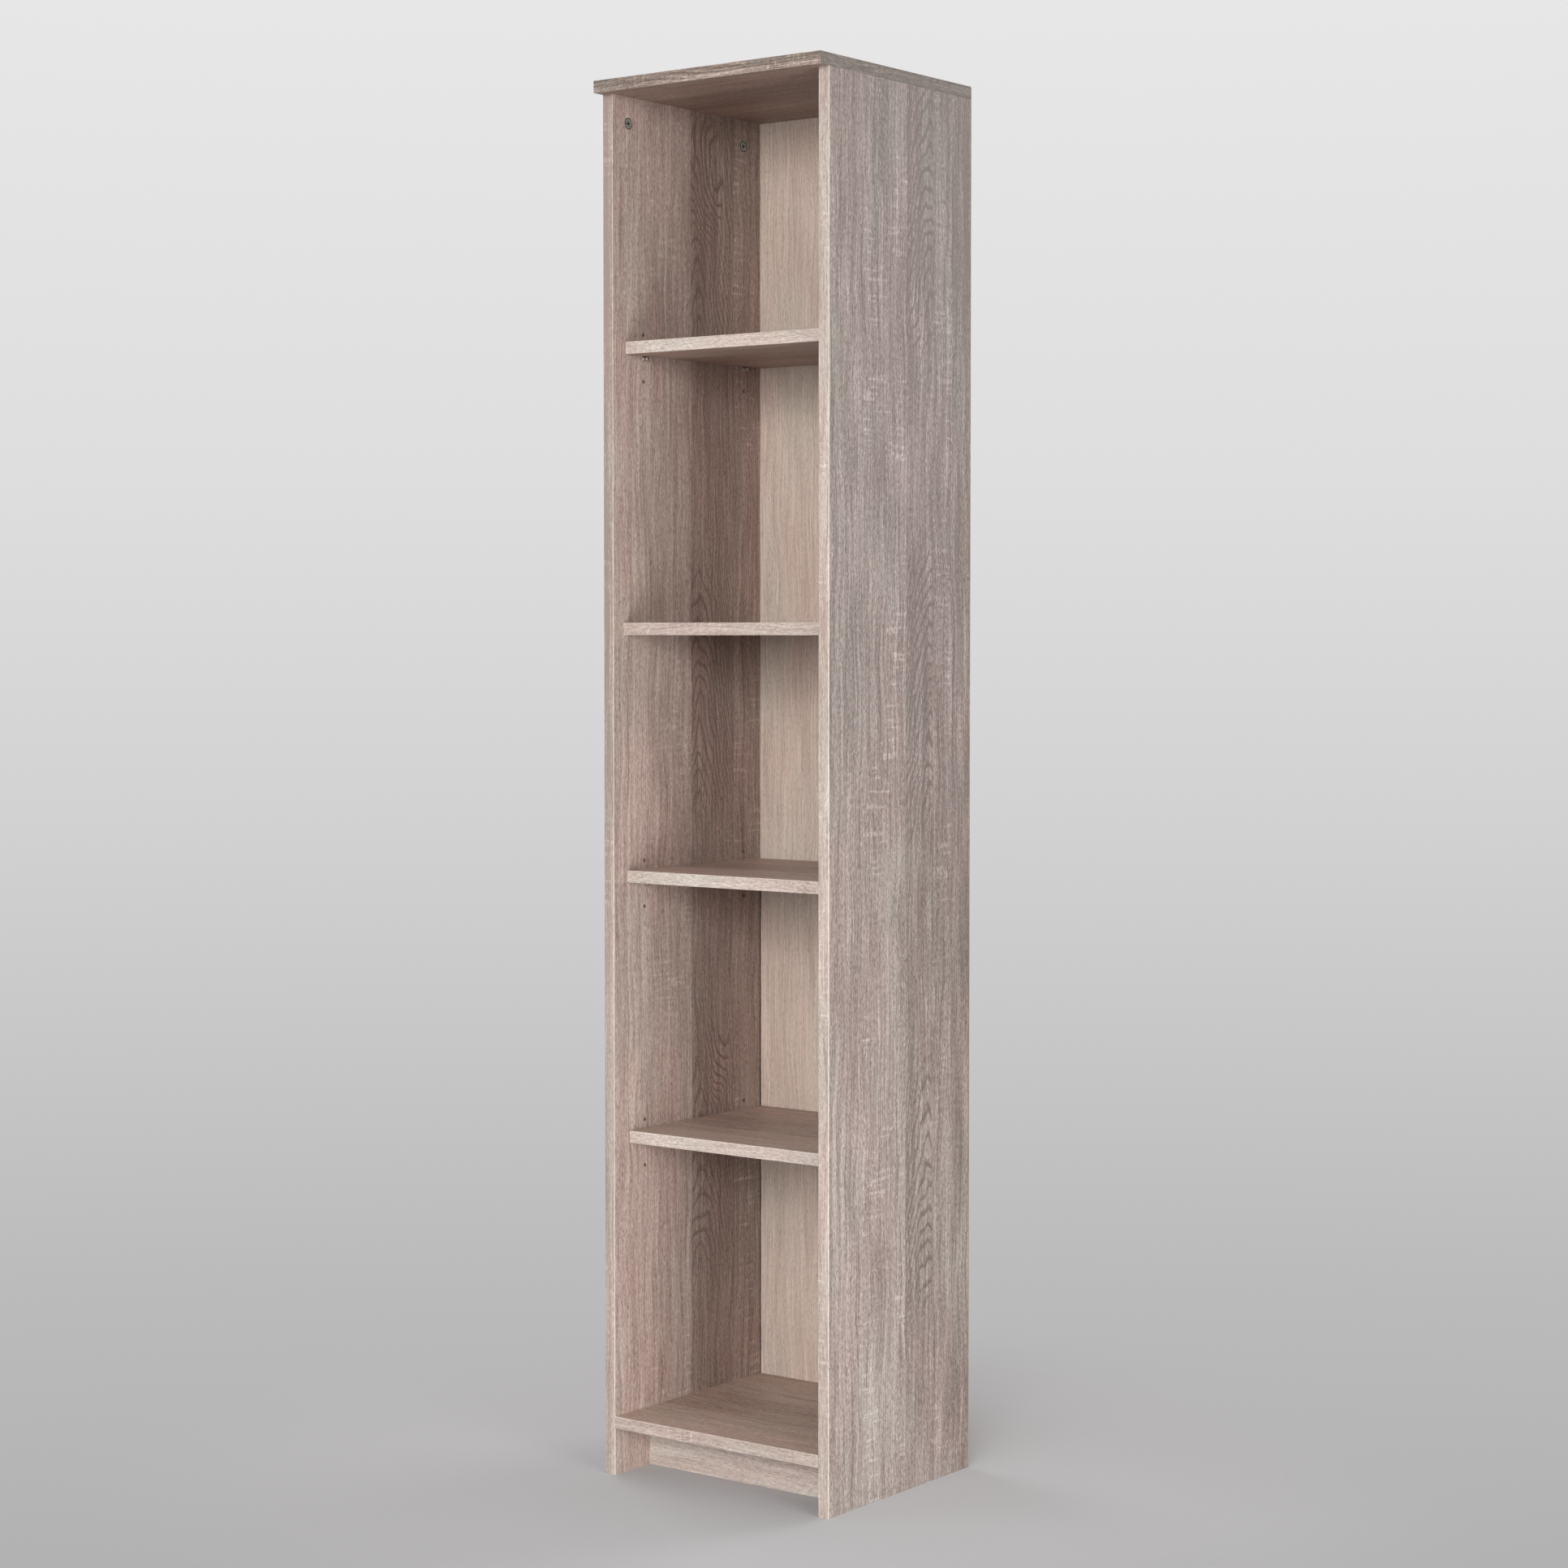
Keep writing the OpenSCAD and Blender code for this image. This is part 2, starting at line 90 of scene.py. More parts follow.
class ShaderTree:
    """A material's node tree, with short calls for the nodes that the finishes are made from."""

    def __init__(self, name: str) -> None:
        """Starts an empty material.

        Args:
            name: Name of the material.
        """
        self.material = bpy.data.materials.new(name)
        self.material.use_nodes = True
        self.tree = self.material.node_tree
        self.tree.nodes.clear()
        self.output = self.add("ShaderNodeOutputMaterial")

    def add(self, kind: str, **settings: object) -> bpy.types.Node:
        """Adds a node.

        Args:
            kind: Class name of the node.
            **settings: Values of the node's own properties.

        Returns:
            The new node.
        """
        node = self.tree.nodes.new(kind)
        for key, value in settings.items():
            setattr(node, key, value)
        return node

    def feed(self, socket: Socket, value: Union[Socket, float, Sequence[float]]) -> None:
        """Links a socket to another, or sets its own value.

        Args:
            socket: Input that is fed.
            value: Output to link from, or the value to set.
        """
        if isinstance(value, bpy.types.NodeSocket):
            self.tree.links.new(value, socket)
        else:
            socket.default_value = value

    def math(self, operation: str, first: Value, second: Value = 0.0, third: Value = 0.0) -> Socket:
        """Joins numbers by one operation.

        Args:
            operation: Name of the operation.
            first: First number.
            second: Second number, where the operation takes one.
            third: Third number, where the operation takes one.

        Returns:
            The result.
        """
        node = self.add("ShaderNodeMath", operation=operation)
        for socket, value in zip(node.inputs, (first, second, third)):
            self.feed(socket, value)
        return node.outputs[0]

    def scaled(self, vector: Socket, scale: Triple, shift: Triple) -> Socket:
        """Stretches and shifts a place.

        Args:
            vector: The place.
            scale: Factor along each axis.
            shift: What is added along each axis.

        Returns:
            The new place.
        """
        node = self.add("ShaderNodeVectorMath", operation="MULTIPLY_ADD")
        self.feed(node.inputs[0], vector)
        self.feed(node.inputs[1], scale)
        self.feed(node.inputs[2], shift)
        return node.outputs[0]

    def noise(self, vector: Socket, detail: float = 2.0, rough: float = 0.5, twist: float = 0.0) -> Socket:
        """Adds cloud noise.

        Args:
            vector: Place that the noise is taken at.
            detail: Number of finer layers.
            rough: Strength of the finer layers.
            twist: Distortion.

        Returns:
            A number that mostly lies between 0.25 and 0.75.
        """
        node = self.add("ShaderNodeTexNoise", noise_dimensions="3D")
        self.feed(node.inputs["Vector"], vector)
        self.feed(node.inputs["Scale"], 1.0)
        self.feed(node.inputs["Detail"], detail)
        self.feed(node.inputs["Roughness"], rough)
        self.feed(node.inputs["Distortion"], twist)
        return node.outputs["Fac"]

    def fade(self, value: Socket, start: float, end: float, low: float = 0.0, high: float = 1.0) -> Socket:
        """Maps a number softly from one span to another, and holds it at the ends.

        Args:
            value: The number.
            start: Where the change starts.
            end: Where it ends.
            low: Result before the start.
            high: Result after the end.

        Returns:
            The mapped number.
        """
        node = self.add("ShaderNodeMapRange", interpolation_type="SMOOTHSTEP")
        for key, number in (("From Min", start), ("From Max", end), ("To Min", low), ("To Max", high)):
            self.feed(node.inputs[key], number)
        self.feed(node.inputs["Value"], value)
        return node.outputs["Result"]

    def ramp(self, value: Socket, stops: Sequence[tuple[float, Colour]], stepped: bool = False) -> Socket:
        """Turns a number into a colour.

        Args:
            value: The number, from 0 to 1.
            stops: Places of the colours and the colours, in order.
            stepped: Whether a colour holds up to the next one.

        Returns:
            The colour.
        """
        node = self.add("ShaderNodeValToRGB")
        colours = node.color_ramp
        colours.interpolation = "CONSTANT" if stepped else "LINEAR"
        while len(colours.elements) < len(stops):
            colours.elements.new(1.0)
        for element, (place, colour) in zip(colours.elements, stops):
            element.position = place
            element.color = colour
        self.feed(node.inputs["Fac"], value)
        return node.outputs["Color"]

    def mix(self, share: Value, under: Union[Socket, Colour], over: Union[Socket, Colour],
            blend: Blend = Blend.COVER) -> Socket:
        """Lays one colour over another.

        Args:
            share: How much of the upper colour is used.
            under: Lower colour.
            over: Upper colour.
            blend: How they are joined.

        Returns:
            The joined colour.
        """
        node = self.add("ShaderNodeMix", data_type="RGBA", blend_type=blend.value)
        node.clamp_factor = True
        self.feed(node.inputs["Factor"], share)
        self.feed(node.inputs["A"], under)
        self.feed(node.inputs["B"], over)
        return node.outputs["Result"]

    def place(self) -> Socket:
        """Returns the place on the piece, in millimetres of the bookcase's frame."""
        source = self.add("ShaderNodeTexCoord")
        return self.scaled(source.outputs["Object"], (1 / MM, 1 / MM, 1 / MM), (0.0, 0.0, 0.0))

    def parts(self, vector: Socket) -> list[Socket]:
        """Returns the three numbers of a place."""
        node = self.add("ShaderNodeSeparateXYZ")
        self.feed(node.inputs[0], vector)
        return list(node.outputs)

    def joined(self, first: Value, second: Value, third: Value) -> Socket:
        """Returns the place made of three numbers."""
        node = self.add("ShaderNodeCombineXYZ")
        for socket, value in zip(node.inputs, (first, second, third)):
            self.feed(socket, value)
        return node.outputs[0]

    def bump(self, height: Socket, strength: float, depth: float) -> Socket:
        """Returns the normal of a relief.

        Args:
            height: Height of the relief, from 0 to 1.
            strength: How strongly it shades.
            depth: Depth of the relief in millimetres.

        Returns:
            The normal.
        """
        node = self.add("ShaderNodeBump")
        self.feed(node.inputs["Strength"], strength)
        self.feed(node.inputs["Distance"], depth * MM)
        self.feed(node.inputs["Height"], height)
        return node.outputs["Normal"]

    def surface(self, colour: Union[Socket, Colour], rough: Value, metal: float = 0.0,
                gloss: float = 0.5, normal: Union[Socket, None] = None) -> bpy.types.Material:
        """Ends the tree with a surface.

        Args:
            colour: Its colour.
            rough: Its roughness.
            metal: One for a metal, zero otherwise.
            gloss: Strength of its reflections.
            normal: Its relief, if it has one.

        Returns:
            The finished material.
        """
        shader = self.add("ShaderNodeBsdfPrincipled")
        self.feed(shader.inputs["Base Color"], colour)
        self.feed(shader.inputs["Roughness"], rough)
        self.feed(shader.inputs["Metallic"], metal)
        self.feed(shader.inputs["Specular IOR Level"], gloss)
        if normal is not None:
            self.feed(shader.inputs["Normal"], normal)
        self.tree.links.new(shader.outputs[0], self.output.inputs["Surface"])
        return self.material


@dataclass(frozen=True)
class Plank:
    """One plank of the printed pattern.

    Args:
        start: Where it starts, from the near edge of the board, in millimetres.
        tone: How light it is, from 0 to 1.
        figure: Strength of its arched growth rings.
        sawn: Strength of its saw marks.
    """

    start: float
    tone: float
    figure: float = 0.0
    sawn: float = 0.0


@dataclass(frozen=True)
class Arch:
    """Arched growth rings round one line along the grain.

    Args:
        line: Place of that line, from the near edge of the board, in millimetres.
        pitch: Distance from one arch to the next.
        steepness: How fast the arches fall away on both sides.
        first: Middle of the lowest stretch of arches along the grain.
        repeat: Distance from one stretch of arches to the next.
    """

    line: float = 216.0
    pitch: float = 27.0
    steepness: float = 0.33
    first: float = 400.0
    repeat: float = 620.0


@dataclass(frozen=True)
class Knot:
    """Knot that the growth rings close round.

    Args:
        across: Its place from the near edge of the board, in millimetres.
        along: Its place along the grain.
        reach: How far across the grain it bends the rings.
        stretch: How many times farther it bends them along the grain.
        rings: How many rings close round it.
    """

    across: float
    along: float
    reach: float
    stretch: float = 2.4
    rings: float = 3.2


@dataclass(frozen=True)
class OakPalette:
    """Colours of an oak print, from its pores to its palest wood."""

    pore: Colour
    dark: Colour
    middle: Colour
    light: Colour
    pale: Colour
    rose: Colour = shade(255, 250, 248)
    moss: Colour = shade(249, 252, 249)


@dataclass(frozen=True)
class GrainScale:
    """Waves of each layer of the print, for one millimetre across, through and along the grain.

    Args:
        sway: Slow bends of all the lines.
        streak: Long soft streaks.
        ripple: Short strokes.
        stripe: Fine straight lines.
        pore: Open pores.
        cloud: Broad lighter and darker clouds.
        tick: Saw marks, which lie across the grain.
        patch: Patches that have saw marks.
        hue: Drifts of colour between rose and moss.
    """

    sway: Triple = (0.016, 0.02, 0.006)
    streak: Triple = (0.13, 0.1, 0.0035)
    ripple: Triple = (0.68, 0.6, 0.17)
    stripe: Triple = (0.56, 0.5, 0.009)
    pore: Triple = (1.1, 1.0, 0.11)
    cloud: Triple = (0.017, 0.02, 0.0055)
    tick: Triple = (0.016, 0.02, 0.19)
    patch: Triple = (0.02, 0.03, 0.008)
    hue: Triple = (0.016, 0.02, 0.005)


@dataclass
class Layers:
    """Layers of noise that one print is joined from.

    Args:
        raw: Place on the board: across, through and along the grain.
        streak: Long soft streaks.
        ripple: Short strokes.
        stripe: Fine straight lines.
        pores: Open pores.
        cloud: Broad clouds.
    """

    raw: Socket
    streak: Socket
    ripple: Socket
    stripe: Socket
    pores: Socket
    cloud: Socket


@dataclass(frozen=True)
class OakPrint:
    """Greige oak print, with planks of different tones, rings, pores and saw marks.

    Args:
        palette: Its colours.
        planks: Its planks, from the near edge to the far edge of the board.
        arch: Its arched rings.
        knots: Its knots.
        streak: Strength of the long streaks.
        stripe: Strength of the fine lines.
        ripple: Strength of the short strokes.
        shade_drift: Change of tone along one metre of grain, used as a painted shade gradient that darkens
            the face further along the grain where it is negative.
        seed: Shift that gives each board its own grain.
        scale: Sizes of its layers.
        sway: How far the lines bend, in millimetres.
        wander: How far the clouds push the rings along the grain, in millimetres.
        ragged: How ragged the rings are, in millimetres.
        frayed: How ragged the joints between planks are, as a share of the board's width.
        cloudy: Strength of the clouds.
        ring: Strength of the rings.
        tick: Strength of the saw marks.
        pit: Strength of the pores.
    """

    palette: OakPalette
    planks: tuple[Plank, ...]
    arch: Arch = Arch()
    knots: tuple[Knot, ...] = ()
    streak: float = 0.7
    stripe: float = 1.0
    ripple: float = 0.36
    shade_drift: float = 0.0
    seed: float = 0.0
    scale: GrainScale = GrainScale()
    sway: float = 26.0
    wander: float = 160.0
    ragged: float = 14.0
    frayed: float = 0.006
    cloudy: float = 0.35
    ring: float = 0.5
    tick: float = 0.28
    pit: float = 0.5

    def grain(self, tree: ShaderTree, across: Socket, through: Socket, along: Socket,
              width: float) -> tuple[Socket, Socket]:
        """Builds the print's colour and its relief.

        Args:
            tree: Tree that it is built in.
            across: Distance across the grain from the near edge, in millimetres.
            through: Distance through the board's thickness.
            along: Distance along the grain.
            width: Width of the board across the grain.

        Returns:
            The colour and the relief.
        """
        layers = self.layers(tree, across, through, along)
        tone, figure, sawn = self.layout(tree, across, width, layers)
        rings = self.rings(tree, across, along, figure, layers)
        ticks = self.ticks(tree, sawn, layers)
        # Painted shade gradient along the grain, then the print's own layers.
        light = tree.math("MULTIPLY_ADD", along, self.shade_drift * MM, tone)
        light = tree.math("MULTIPLY_ADD", tree.math("SUBTRACT", layers.streak, 0.5), self.streak, light)
        light = tree.math("MULTIPLY_ADD", tree.math("SUBTRACT", layers.stripe, 0.5), self.stripe, light)
        fleck = tree.fade(layers.ripple, 0.34, 0.66, -0.5, 0.5)
        light = tree.math("MULTIPLY_ADD", fleck, self.ripple, light)
        light = tree.math("MULTIPLY_ADD", tree.math("SUBTRACT", layers.cloud, 0.5), self.cloudy, light)
        light = tree.math("MULTIPLY_ADD", rings, -self.ring, light)
        light = tree.math("MULTIPLY_ADD", ticks, self.tick, light)
        pit = tree.fade(layers.pores, 0.33, 0.47, self.pit, 0.0)
        colour = tree.mix(pit, self.tint(tree, light, layers), self.palette.pore)
        raised = tree.math("MULTIPLY_ADD", layers.ripple, 0.6, 0.4)
        return colour, tree.math("SUBTRACT", raised, tree.math("MULTIPLY", pit, 0.8))

    def shift(self) -> Triple:
        """Returns the shift of the noise that gives this print its own grain."""
        return (self.seed * SEED_STEP[0], self.seed * SEED_STEP[1], self.seed * SEED_STEP[2])

    def layers(self, tree: ShaderTree, across: Socket, through: Socket, along: Socket) -> Layers:
        """Builds the layers of noise.

        Args:
            tree: Tree that they are built in.
            across: Distance across the grain.
            through: Distance through the board's thickness.
            along: Distance along the grain.

        Returns:
            The layers.
        """
        shift = self.shift()
        scale = self.scale
        raw = tree.joined(across, through, along)
        sway = tree.noise(tree.scaled(raw, scale.sway, shift), 2.0, 0.5)
        wood = tree.joined(tree.math("MULTIPLY_ADD", sway, self.sway, across), through, along)
        return Layers(
            raw=raw,
            streak=tree.noise(tree.scaled(wood, scale.streak, shift), 3.0, 0.62),
            ripple=tree.noise(tree.scaled(wood, scale.ripple, shift), 3.0, 0.75, 0.5),
            stripe=tree.noise(tree.scaled(wood, scale.stripe, shift), 2.0, 0.75),
            pores=tree.noise(tree.scaled(wood, scale.pore, shift), 2.0, 0.65),
            cloud=tree.noise(tree.scaled(raw, scale.cloud, shift), 2.0, 0.55))

    def layout(self, tree: ShaderTree, across: Socket, width: float, layers: Layers) -> list[Socket]:
        """Lays the planks side by side, with slightly ragged joints.

        Args:
            tree: Tree that they are built in.
            across: Distance across the grain.
            width: Width of the board across the grain.
            layers: Layers of noise.

        Returns:
            The plank's tone, the strength of its rings and the strength of its saw marks.
        """
        stops = [(plank.start / width, (plank.tone, plank.figure, plank.sawn, 1.0)) for plank in self.planks]
        share = tree.math("DIVIDE", across, width)
        edge = tree.math("MULTIPLY_ADD", tree.math("SUBTRACT", layers.ripple, 0.5), self.frayed, share)
        node = tree.add("ShaderNodeSeparateColor")
        tree.feed(node.inputs[0], tree.ramp(edge, stops, stepped=True))
        return list(node.outputs)

    def rings(self, tree: ShaderTree, across: Socket, along: Socket, figure: Socket,
              layers: Layers) -> Socket:
        """Builds the arched growth rings, in stretches along the grain and round the knots.

        Args:
            tree: Tree that they are built in.
            across: Distance across the grain.
            along: Distance along the grain.
            figure: Strength of the rings in each plank.
            layers: Layers of noise.

        Returns:
            How dark the rings are, from 0 to 1.
        """
        arch = self.arch
        aside = tree.math("POWER", tree.math("ABSOLUTE", tree.math("SUBTRACT", across, arch.line)), 1.5)
        rise = tree.math("MULTIPLY_ADD", aside, arch.steepness, along)
        rise = tree.math("MULTIPLY_ADD", layers.cloud, self.wander, rise)
        rise = tree.math("MULTIPLY_ADD", layers.ripple, self.ragged, rise)
        bent, figure = self.bend(tree, across, along, rise, figure)
        phase = tree.math("FRACT", tree.math("DIVIDE", bent, arch.pitch))
        line = tree.math("MULTIPLY", tree.fade(phase, 0.0, 0.4, 1.0, 0.0), tree.fade(phase, 0.0, 0.03))
        turn = 2 * math.pi / arch.repeat
        wave = tree.math("COSINE", tree.math("MULTIPLY_ADD", along, turn, -turn * arch.first))
        span = tree.math("MULTIPLY_ADD", layers.cloud, 2.0, wave)
        return tree.math("MULTIPLY", tree.math("MULTIPLY", line, figure), tree.fade(span, 0.5, 1.4))

    def bend(self, tree: ShaderTree, across: Socket, along: Socket, rings: Socket,
             figure: Socket) -> tuple[Socket, Socket]:
        """Closes the rings round the knots.

        Args:
            tree: Tree that it is built in.
            across: Distance across the grain.
            along: Distance along the grain.
            rings: Distance that the rings are counted on.
            figure: Strength of the rings.

        Returns:
            The bent distance, and the strength with the knots added.
        """
        for knot in self.knots:
            aside = tree.math("DIVIDE", tree.math("SUBTRACT", across, knot.across), knot.reach)
            length = knot.stretch * knot.reach
            ahead = tree.math("DIVIDE", tree.math("SUBTRACT", along, knot.along), length)
            off = tree.math("ADD", tree.math("MULTIPLY", aside, aside), tree.math("MULTIPLY", ahead, ahead))
            near = tree.fade(off, 0.0, 1.0, 1.0, 0.0)
            rings = tree.math("MULTIPLY_ADD", near, knot.rings * self.arch.pitch, rings)
            figure = tree.math("ADD", figure, near)
        return rings, figure

    def ticks(self, tree: ShaderTree, sawn: Socket, layers: Layers) -> Socket:
        """Builds the pale saw marks across the grain.

        Args:
            tree: Tree that they are built in.
            sawn: Strength of the saw marks in each plank.
            layers: Layers of noise.

        Returns:
            How pale the saw marks are, from 0 to 1.
        """
        shift = self.shift()
        rolled = (shift[2], shift[0], shift[1])
        ticks = tree.noise(tree.scaled(layers.raw, self.scale.tick, shift), 1.0, 0.5)
        patch = tree.noise(tree.scaled(layers.raw, self.scale.patch, rolled), 1.0)
        tick = tree.math("MULTIPLY", tree.fade(ticks, 0.53, 0.66), tree.fade(patch, 0.49, 0.62))
        return tree.math("MULTIPLY", tree.math("MULTIPLY", tick, sawn), tree.fade(layers.ripple, 0.34, 0.6))

    def tint(self, tree: ShaderTree, light: Socket, layers: Layers) -> Socket:
        """Turns the lightness of the wood into its colour.

        Args:
            tree: Tree that it is built in.
            light: Lightness of the wood, from 0 to 1.
            layers: Layers of noise.

        Returns:
            The colour.
        """
        shift = self.shift()
        rolled = (shift[1], shift[2], shift[0])
        colours = self.palette
        colour = tree.ramp(light, (
            (0.05, colours.dark), (0.38, colours.middle), (0.68, colours.light), (0.98, colours.pale)))
        hue = tree.noise(tree.scaled(layers.raw, self.scale.hue, rolled), 2.0)
        cast = tree.mix(tree.fade(hue, 0.36, 0.64), colours.rose, colours.moss)
        return tree.mix(1.0, colour, cast, Blend.DEEPEN)


@dataclass(frozen=True)
class Chipboard:
    """Raw core of a board, seen where it is drilled or left unbanded; its chipboard colours are darkened to
    paint the shade inside the drilled holes.
    """

    # Chipboard colours, darkened as painted shade for the inside of the drilled holes.
    glue: Colour = shade(98, 78, 60)
    chip: Colour = shade(146, 122, 96)
    bark: Colour = shade(62, 48, 37)

    def grain(self, tree: ShaderTree, place: Socket) -> Socket:
        """Builds the colour of pressed chips.

        Args:
            tree: Tree that it is built in.
            place: Place on the piece in millimetres.

        Returns:
            The colour.
        """
        chips = tree.noise(tree.scaled(place, (0.7, 0.45, 0.45), (0.0, 0.0, 0.0)), 2.0, 0.7, 0.8)
        specks = tree.noise(tree.scaled(place, (1.6, 1.3, 1.3), (3.0, 1.0, 2.0)), 1.0)
        colour = tree.ramp(tree.fade(chips, 0.3, 0.7), ((0.0, self.glue), (1.0, self.chip)))
        return tree.mix(tree.fade(specks, 0.62, 0.7), colour, self.bark)


@dataclass(frozen=True)
class BoardFinish:
    """A board covered with an oak print on both faces, with its core showing elsewhere.

    Args:
        first: Print of the face at the lower end of the thickness.
        second: Print of the other face.
        thickness: Axis through the board.
        grain: Axis that the grain runs along.
        rough: Roughness of the print.
        core: Core that shows in drillings and on raw edges.
        skin: Thickness of the print, in millimetres.
    """

    first: OakPrint
    second: OakPrint
    thickness: Axis
    grain: Axis
    rough: float = 0.52
    core: Chipboard = Chipboard()
    skin: float = 0.25

    def material(self, name: str, low: Vector, high: Vector) -> bpy.types.Material:
        """Builds the material of one board.

        Args:
            name: Name of the board.
            low: Its lowest corner, in metres.
            high: Its highest corner, in metres.

        Returns:
            The material.
        """
        tree = ShaderTree(name + "_finish")
        place = tree.place()
        steps = tree.parts(place)
        spread = next(axis for axis in Axis if axis not in (self.thickness, self.grain))
        near = low[spread.value] / MM
        width = high[spread.value] / MM - near
        across = tree.math("SUBTRACT", steps[spread.value], near)
        through = steps[self.thickness.value]
        along = steps[self.grain.value]
        middle = (low[self.thickness.value] + high[self.thickness.value]) / 2 / MM
        half = (high[self.thickness.value] - low[self.thickness.value]) / 2 / MM
        offset = tree.math("SUBTRACT", through, middle)
        first, first_relief = self.first.grain(tree, across, through, along, width)
        if self.second is self.first:
            colour, relief = first, first_relief
        else:
            second, second_relief = self.second.grain(tree, across, through, along, width)
            face = tree.math("GREATER_THAN", offset, 0.0)
            colour = tree.mix(face, first, second)
            chosen = tree.add("ShaderNodeMix", data_type="FLOAT")
            tree.feed(chosen.inputs["Factor"], face)
            tree.feed(chosen.inputs["A"], first_relief)
            tree.feed(chosen.inputs["B"], second_relief)
            relief = chosen.outputs["Result"]
        raw = tree.math("LESS_THAN", tree.math("ABSOLUTE", offset), half - self.skin)
        colour = tree.mix(raw, colour, self.core.grain(tree, place))
        rough = tree.math("MULTIPLY_ADD", relief, -0.16, self.rough + 0.1)
        rough = tree.math("MULTIPLY_ADD", raw, 0.3, rough)
        return tree.surface(colour, rough, gloss=0.4, normal=tree.bump(relief, 0.5, 0.2))


@dataclass(frozen=True)
class BandFinish:
    """Thin band glued on a front edge, with grain along it and a painted highlight along its corners, where
    their rounding would catch the light.

    Args:
        print_: Oak print of the band.
        grain: Axis along the band.
        height: Axis across the band's visible face.
        corner_highlight: Colour of the painted highlight along its corners.
        highlight_strength: How strong the painted highlight is at the low corner and at the high corner.
        corner: Width of the painted highlight along a corner, in millimetres.
        rough: Roughness of the band.
    """

    print_: OakPrint
    grain: Axis
    height: Axis
    corner_highlight: Colour = shade(226, 214, 204)
    highlight_strength: tuple[float, float] = (0.25, 0.6)
    corner: float = 1.3
    rough: float = 0.48

    def material(self, name: str, low: Vector, high: Vector) -> bpy.types.Material:
        """Builds the material of one band.

        Args:
            name: Name of the band.
            low: Its lowest corner, in metres.
            high: Its highest corner, in metres.

        Returns:
            The material.
        """
        tree = ShaderTree(name + "_finish")
        steps = tree.parts(tree.place())
        other = next(axis for axis in Axis if axis not in (self.grain, self.height))
        bottom = low[self.height.value] / MM
        width = high[self.height.value] / MM - bottom
        across = tree.math("SUBTRACT", steps[self.height.value], bottom)
        colour, relief = self.print_.grain(tree, across, steps[other.value], steps[self.grain.value], width)
        # Painted highlight along both corners of the band, broken up by the grain's relief.
        highlight_grain = tree.fade(relief, 0.35, 0.75, 0.45, 1.0)
        below = tree.math("MULTIPLY", tree.fade(across, 0.0, self.corner, self.highlight_strength[0], 0.0), highlight_grain)
        inset = width - self.corner
        above = tree.math("MULTIPLY", tree.fade(across, inset, width, 0.0, self.highlight_strength[1]), highlight_grain)
        colour = tree.mix(tree.math("ADD", below, above), colour, self.corner_highlight)
        rough = tree.math("MULTIPLY_ADD", relief, -0.14, self.rough + 0.08)
        return tree.surface(colour, rough, gloss=0.45, normal=tree.bump(relief, 0.3, 0.1))


@dataclass(frozen=True)
class BackFinish:
    """Thin back board: printed in front with pale pinstriped oak and a painted shadow line beside the left
    side, plain fibreboard behind.

    Args:
        print_: Print of the front face.
        fibre: Colour of the fibreboard.
        fleck: Colour of its darker fibres.
        gap_shadow: Colour of the painted shadow line beside the left side, which stands in for the shade of
            an opening that the model doesn't have.
        gap_shadow_width: Width of that painted shadow line in millimetres.
        gap_shadow_top: Height that the painted shadow line reaches, in millimetres.
        gap_shadow_end: Height over which it narrows, in millimetres.
        closed_gap_shadow: Its width above that.
        skin: Thickness of the print, in millimetres.
    """

    print_: OakPrint
    fibre: Colour = shade(168, 143, 114)
    fleck: Colour = shade(148, 122, 94)
    gap_shadow: Colour = shade(44, 33, 28)
    gap_shadow_width: float = 1.7
    gap_shadow_top: float = 760.0
    gap_shadow_end: float = 40.0
    closed_gap_shadow: float = 0.35
    skin: float = 0.2

    def material(self, name: str, low: Vector, high: Vector, edge: float) -> bpy.types.Material:
        """Builds the material of the back board.

        Args:
            name: Name of the board.
            low: Its lowest corner, in metres.
            high: Its highest corner, in metres.
            edge: Place of the left side's inner face, in metres.

        Returns:
            The material.
        """
        tree = ShaderTree(name + "_finish")
        place = tree.place()
        x, y, z = tree.parts(place)
        width = (high.x - low.x) / MM
        across = tree.math("SUBTRACT", x, low.x / MM)
        colour, relief = self.print_.grain(tree, across, y, z, width)
        # Painted shadow line along the left side's inner face, wavering in width and narrowing higher up.
        inner = edge / MM
        waver = tree.noise(tree.scaled(place, (0.0, 0.0, 0.01), (5.0, 2.0, 0.0)), 1.0)
        shadow_width = tree.fade(z, self.gap_shadow_top, self.gap_shadow_top + self.gap_shadow_end, self.gap_shadow_width, self.closed_gap_shadow)
        reach = tree.math("MULTIPLY", shadow_width, tree.math("ADD", waver, 0.5))
        gap_shadow_mask = tree.math("LESS_THAN", tree.math("SUBTRACT", x, inner), reach)
        colour = tree.mix(gap_shadow_mask, colour, self.gap_shadow)
        fibres = tree.noise(tree.scaled(place, (0.5, 0.5, 0.5), (0.0, 0.0, 0.0)), 3.0, 0.7, 0.4)
        plain = tree.ramp(tree.fade(fibres, 0.34, 0.66), ((0.0, self.fleck), (1.0, self.fibre)))
        behind = tree.math("GREATER_THAN", y, low.y / MM + self.skin)
        colour = tree.mix(behind, colour, plain)
        rough = tree.math("MULTIPLY_ADD", behind, 0.25, tree.math("MULTIPLY_ADD", relief, -0.12, 0.62))
        return tree.surface(colour, rough, gloss=0.35, normal=tree.bump(relief, 0.25, 0.1))


